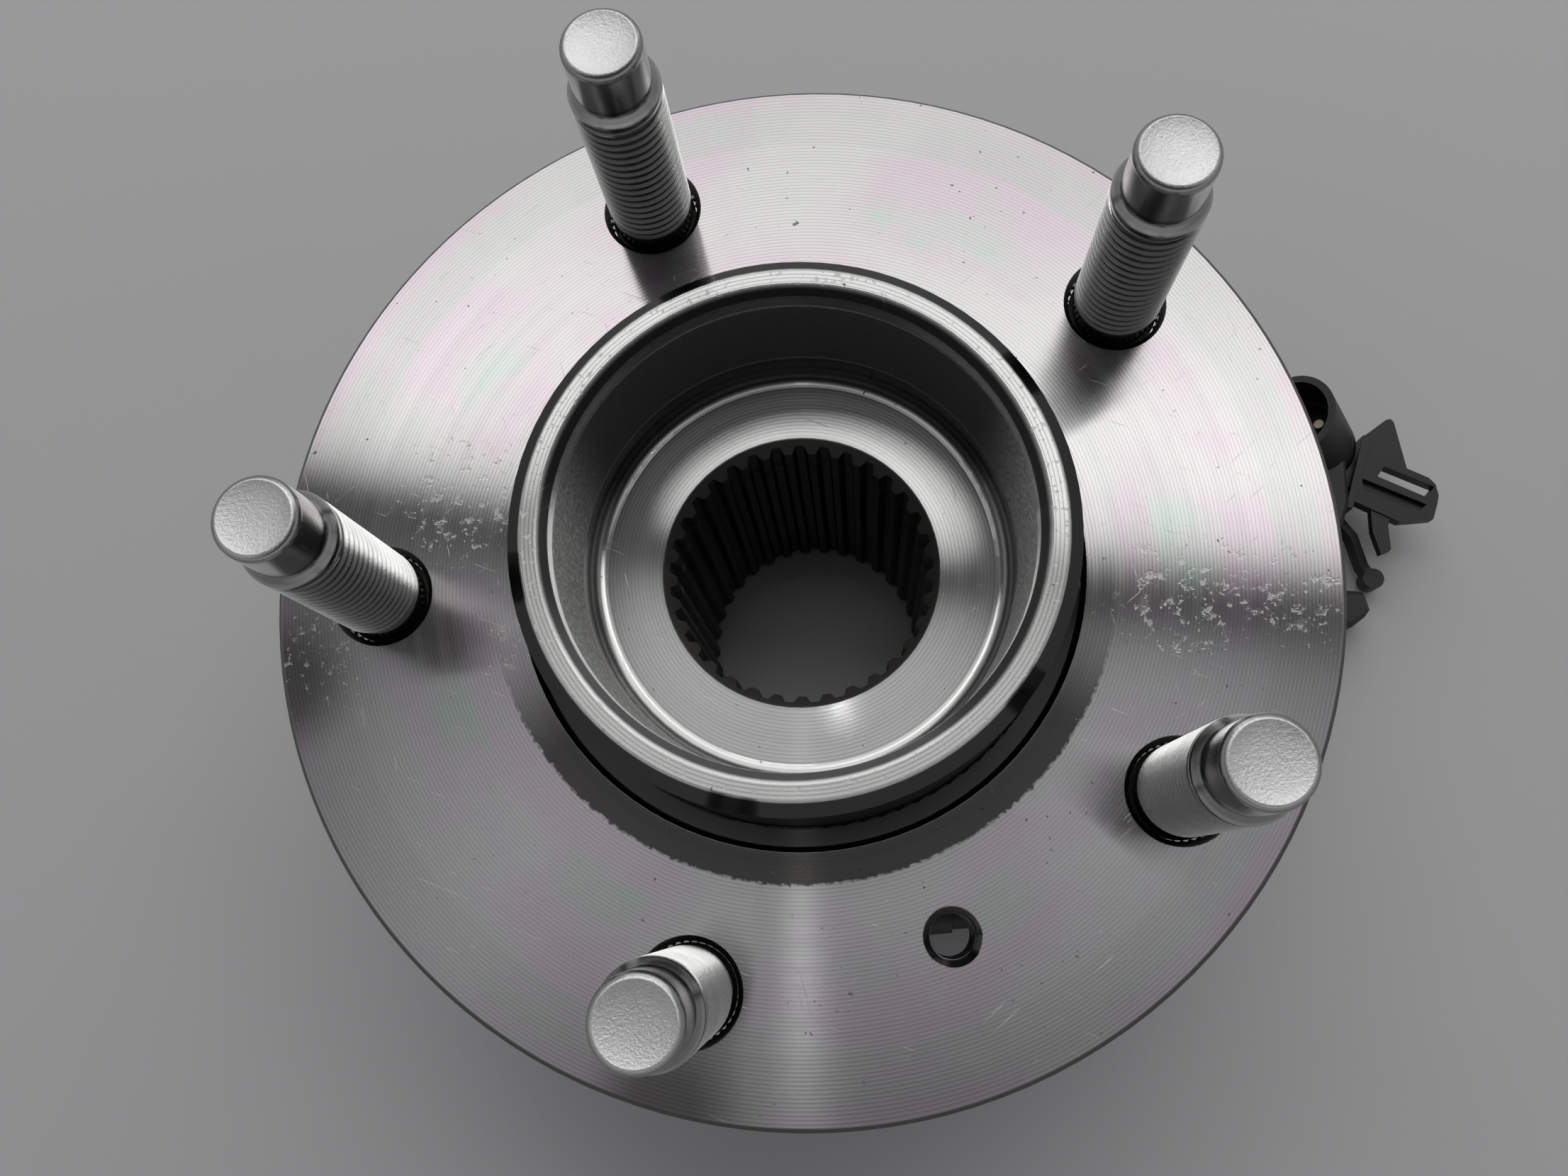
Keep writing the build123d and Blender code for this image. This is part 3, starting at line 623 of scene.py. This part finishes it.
ringSteel = {
    "oxide": (0.115, 0.108, 0.1),
    "bare": (0.26, 0.25, 0.24),
    "rust": (0.2, 0.12, 0.075),
    "ground": (0.58, 0.58, 0.585),
    "groundLine": (0.42, 0.42, 0.425),
    # the machined surfaces, in the same order as the hub's
    "zones": {
        "pilot": ((42.4, 42.8), (45.9, 46.2), None, (16.9, 17.2)),
        "seat": ((45.6, 46.0), None, None, (17.05, 17.25)),
        "top": (None, None, (47.5, 47.8), None),
        "bottom": (None, None, None, (7.5, 7.8)),
        "bore": (None, (42.0, 42.3), None, None),
    },
}


def ringFinish():
    finish = Finish("forgedSteel")
    point = finish.place()
    x, y, z = finish.split(point)
    radius = (x * x + y * y) ** 0.5
    on = zonesOf(radius, z, ringSteel["zones"])
    cut = on.pilot.strongest(on.seat, on.top, on.bottom, on.bore)
    slow = finish.noise(point, 0.08, 4.0)
    fine = finish.noise(point, 1.6, 5.0, 0.7)
    pits = finish.node("ShaderNodeTexVoronoi", None, {"Vector": point, "Scale": 0.9})
    lathe = finish.noise(finish.vector(radius, 0.0, z), 4.0, 4.0, 0.7)
    layers = [
        (fine.ramp(0.3, 0.7) * 0.4, ringSteel["bare"]),
        (slow.ramp(0.52, 0.75) * 0.35, ringSteel["rust"]),
        (cut, finish.tint(lathe * 0.4, ringSteel["ground"], ringSteel["groundLine"])),
    ]
    finish.set(Base_Color=finish.layered(ringSteel["oxide"], layers))
    finish.set(Roughness=0.58 + fine * 0.15 - cut * 0.3 + lathe * cut * 0.1, Metallic=0.75 + cut * 0.25)
    rough = finish.bump((fine + pits * 0.4) * (1 - cut), 0.7, 0.00025)
    finish.set(Normal=finish.bump(lathe * cut, 0.3, 0.00002, rough))
    return finish.material


rubbing = {"scratches": [(15, 0.3, 3.0, 0.64, 0.74)], "wear": 0.25, "cells": 1.4}


def moulded(name, tone, pale, rough, grain, lift):
    # plastic or rubber with a moulded surface, dust in its hollows and rubbed spots
    finish = Finish(name)
    point = finish.place()
    slow = finish.noise(point, 0.2, 3.0)
    fine = finish.noise(point, grain, 3.0, 0.6)
    cells = finish.node("ShaderNodeTexVoronoi", None, {"Vector": point, "Scale": grain * rubbing["cells"]})
    rubs = finish.scratches(point, rubbing["scratches"])
    layers = [(slow.ramp(0.45, 0.75) * 0.5, pale), (rubs * rubbing["wear"], pale)]
    finish.set(Base_Color=finish.layered(tone, layers), Roughness=rough + slow * 0.1 - rubs * 0.12)
    finish.set(Normal=finish.bump(cells * 0.6 + fine * 0.6 - rubs * 0.2, 0.5, lift))
    return finish.material


# name, main tone, second tone, roughness, its spread, scale of the grain and its height in metres
steels = {
    "bearing_steel": ("groundSteel", (0.55, 0.55, 0.56), (0.42, 0.42, 0.43), 0.12, 0.06, 3.0, 0.000008),
    "stamped_steel": ("stampedSteel", (0.4, 0.4, 0.4), (0.28, 0.27, 0.255), 0.3, 0.14, 2.0, 0.00003),
    "terminal_metal": ("terminalMetal", (0.34, 0.31, 0.25), (0.24, 0.22, 0.18), 0.3, 0.08, 4.0, 0.00001),
}

# the same without the spread
mouldings = {
    "cage_plastic": ("cageNylon", (0.42, 0.33, 0.2), (0.5, 0.42, 0.29), 0.45, 3.0, 0.00004),
    "seal_rubber": ("sealRubber", (0.022, 0.022, 0.024), (0.06, 0.06, 0.06), 0.55, 3.0, 0.00004),
    "lead_rubber": ("leadRubber", (0.018, 0.018, 0.02), (0.06, 0.058, 0.055), 0.5, 2.5, 0.00005),
    "black_plastic": ("blackNylon", (0.009, 0.009, 0.01), (0.024, 0.024, 0.025), 0.4, 2.4, 0.00004),
    "chip_plastic": ("chipResin", (0.03, 0.03, 0.035), (0.06, 0.06, 0.065), 0.3, 4.0, 0.00002),
    "magnet": ("sinteredMagnet", (0.12, 0.12, 0.125), (0.18, 0.18, 0.18), 0.5, 3.5, 0.00004),
    "mouth_rubber": ("mouthRubber", (0.09, 0.035, 0.02), (0.13, 0.06, 0.04), 0.5, 3.0, 0.00003),
}

finishes = {"turned_steel": hubFinish(), "forged_steel": ringFinish(), "zinc_steel": studFinish()}
finishes.update((slot, plainSteel(*recipe)) for slot, recipe in steels.items())
finishes.update((slot, moulded(*recipe)) for slot, recipe in mouldings.items())
print("finishes are made")

slotOf = {part["node"]: part["material_slot"] for part in frame["record"]["subparts"]}
for name, piece in frame["nodes"].items():
    piece.data.materials.clear()
    piece.data.materials.append(finishes[slotOf[name]])
print("finishes are on", len(slotOf), "pieces")

lead = {
    # from the sensor's grommet to the connector
    "route": [
        (20.0, -48.2, 4.4),
        (34.5, -48.2, 4.4),
        (52.5, -45.4, 2.6),
        (69.0, -34.5, 2.6),
        (81.0, -19.5, 2.6),
        (86.2, -4.2, 5.0),
        (86.2, 9.4, 5.0),
    ],
    "thickness": 5.0,
    "length": 0.101,  # metres
    "stepsAlong": 12,
    "stepsAround": 6,
}


def addLead():
    curve = bpy.data.curves.new("leadJacket", "CURVE")
    curve.dimensions = "3D"
    line = curve.splines.new("NURBS")
    line.points.add(len(lead["route"]) - 1)
    for spot, place in zip(line.points, lead["route"]):
        spot.co = (*(part * mm for part in place), 1)
    line.order_u = 3
    line.use_endpoint_u = True
    line.resolution_u = lead["stepsAlong"]
    curve.bevel_depth = lead["thickness"] / 2 * mm
    curve.bevel_resolution = lead["stepsAround"]
    curve.use_fill_caps = True
    piece = bpy.data.objects.new("leadJacket", curve)
    bpy.context.scene.collection.objects.link(piece)
    curve.materials.append(finishes["lead_rubber"])
    return piece


leadJacket = addLead()
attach(leadJacket, "carrier")
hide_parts("sensor_lead")
print("the sensor lead is laid")


def tidyShell():
    # in edit mode: merge what meets and face outwards
    bpy.ops.mesh.select_all(action="SELECT")
    bpy.ops.mesh.remove_doubles(threshold=weld)
    bpy.ops.mesh.normals_make_consistent(inside=False)


def profileLine(name, corners):
    # a line of edges in the XZ plane, pulled out point by point
    bpy.ops.object.select_all(action="DESELECT")
    bpy.ops.mesh.primitive_plane_add(size=mm, location=(0, 0, 0))
    piece = bpy.context.object
    piece.name = name
    bpy.ops.object.mode_set(mode="EDIT")
    bpy.ops.mesh.select_all(action="SELECT")
    bpy.ops.mesh.merge(type="CENTER")
    here = (0.0, 0.0)
    for number, corner in enumerate(corners):
        step = ((corner[0] - here[0]) * mm, 0.0, (corner[1] - here[1]) * mm)
        if number:
            bpy.ops.mesh.extrude_region_move(TRANSFORM_OT_translate={"value": step})
        else:
            bpy.ops.transform.translate(value=step)
        here = corner
    return piece


def studBody():
    piece = profileLine("studBody", stud["body"])
    bpy.ops.mesh.select_all(action="SELECT")
    bpy.ops.mesh.spin(steps=stud["bodySteps"], angle=2 * math.pi, center=(0, 0, 0), axis=(0, 0, 1))
    tidyShell()
    bpy.ops.object.mode_set(mode="OBJECT")
    bpy.ops.object.shade_smooth_by_angle(angle=math.radians(stud["bodySmooth"]))
    return piece


def studThread():
    # one pitch of the flank, wound up the shank by a screw modifier and cut flat at both ends
    root, crest, pitch = stud["rootRadius"], stud["crestRadius"], stud["pitch"]
    bottom, top = stud["threadFrom"], stud["threadTo"]
    start = bottom - pitch
    flank = (pitch - stud["crestFlat"] - stud["rootFlat"]) / 2
    crestStart = start + stud["rootFlat"] + flank
    corners = [
        (root, start),
        (root, start + stud["rootFlat"]),
        (crest, crestStart),
        (crest, crestStart + stud["crestFlat"]),
        (root, bottom),
    ]
    piece = profileLine("studThread", corners)
    bpy.ops.object.mode_set(mode="OBJECT")
    wind = piece.modifiers.new("wind", "SCREW")
    wind.axis = "Z"
    wind.screw_offset = pitch * mm
    wind.iterations = math.ceil((top - bottom) / pitch) + 2
    wind.steps = wind.render_steps = stud["threadSteps"]
    wind.use_merge_vertices = True
    wind.merge_threshold = weld
    bpy.ops.object.modifier_apply(modifier=wind.name)
    bpy.ops.object.mode_set(mode="EDIT")
    for height, side in ((bottom, -1), (top, 1)):
        bpy.ops.mesh.select_all(action="SELECT")
        bpy.ops.mesh.bisect(
            plane_co=(0, 0, height * mm),
            plane_no=(0, 0, side),
            use_fill=True,
            clear_outer=True,
            threshold=weld / 10,
        )
    tidyShell()
    bpy.ops.object.mode_set(mode="OBJECT")
    bpy.ops.object.shade_smooth_by_angle(angle=math.radians(stud["threadSmooth"]))
    return piece


def studKnurl():
    # a cylinder with every second edge drawn in
    teeth, bottom, top = stud["knurlTeeth"], stud["knurlFrom"], stud["knurlTo"]
    bpy.ops.object.select_all(action="DESELECT")
    bpy.ops.mesh.primitive_cylinder_add(
        vertices=teeth * 2,
        radius=stud["knurlTip"] * mm,
        depth=(top - bottom) * mm,
        location=(0, 0, (top + bottom) / 2 * mm),
    )
    piece = bpy.context.object
    piece.name = "studKnurl"
    bpy.ops.object.transform_apply(location=True, rotation=True, scale=True)
    bpy.ops.object.mode_set(mode="EDIT")
    bpy.ops.mesh.select_mode(type="VERT")
    bpy.ops.mesh.select_all(action="DESELECT")
    shape = bmesh.from_edit_mesh(piece.data)
    for spot in shape.verts:
        step = math.degrees(math.atan2(spot.co.x, spot.co.y)) % 360 / (180 / teeth)
        spot.select = round(step) % 2 == 1
    shape.select_flush(True)
    bmesh.update_edit_mesh(piece.data)
    share = stud["knurlValley"] / stud["knurlTip"]
    bpy.ops.transform.resize(value=(share, share, 1), center_override=(0, 0, 0))
    bpy.ops.object.mode_set(mode="OBJECT")
    return piece


def joined(name, *parts):
    bpy.ops.object.select_all(action="DESELECT")
    for part in parts:
        part.select_set(True)
    bpy.context.view_layer.objects.active = parts[0]
    bpy.ops.object.join()
    parts[0].name = parts[0].data.name = name
    return parts[0]


def copyTurned(piece, name, angle):
    # a copy with its own mesh, turned about the spin axis
    twin = piece.copy()
    twin.data = piece.data.copy()
    twin.name = twin.data.name = name
    bpy.context.scene.collection.objects.link(twin)
    twin.data.transform(Matrix.Rotation(math.radians(angle), 4, "Z"))
    return twin


def addStuds():
    pattern = joined("studPattern", studBody(), studThread(), studKnurl())
    pattern.data.materials.clear()
    pattern.data.materials.append(finishes["zinc_steel"])
    pattern.data.transform(Matrix.Translation((stud["circle"] * mm, 0, 0)))
    for number in range(stud["count"]):
        angle = stud["firstAngle"] + number * 360 / stud["count"]
        twin = copyTurned(pattern, f"threadedStud{number + 1}", angle)
        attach(twin, "hub")
        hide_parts(f"wheel_stud_{number + 1}")
    bpy.data.objects.remove(pattern)


addStuds()
print("studs are threaded and knurled")
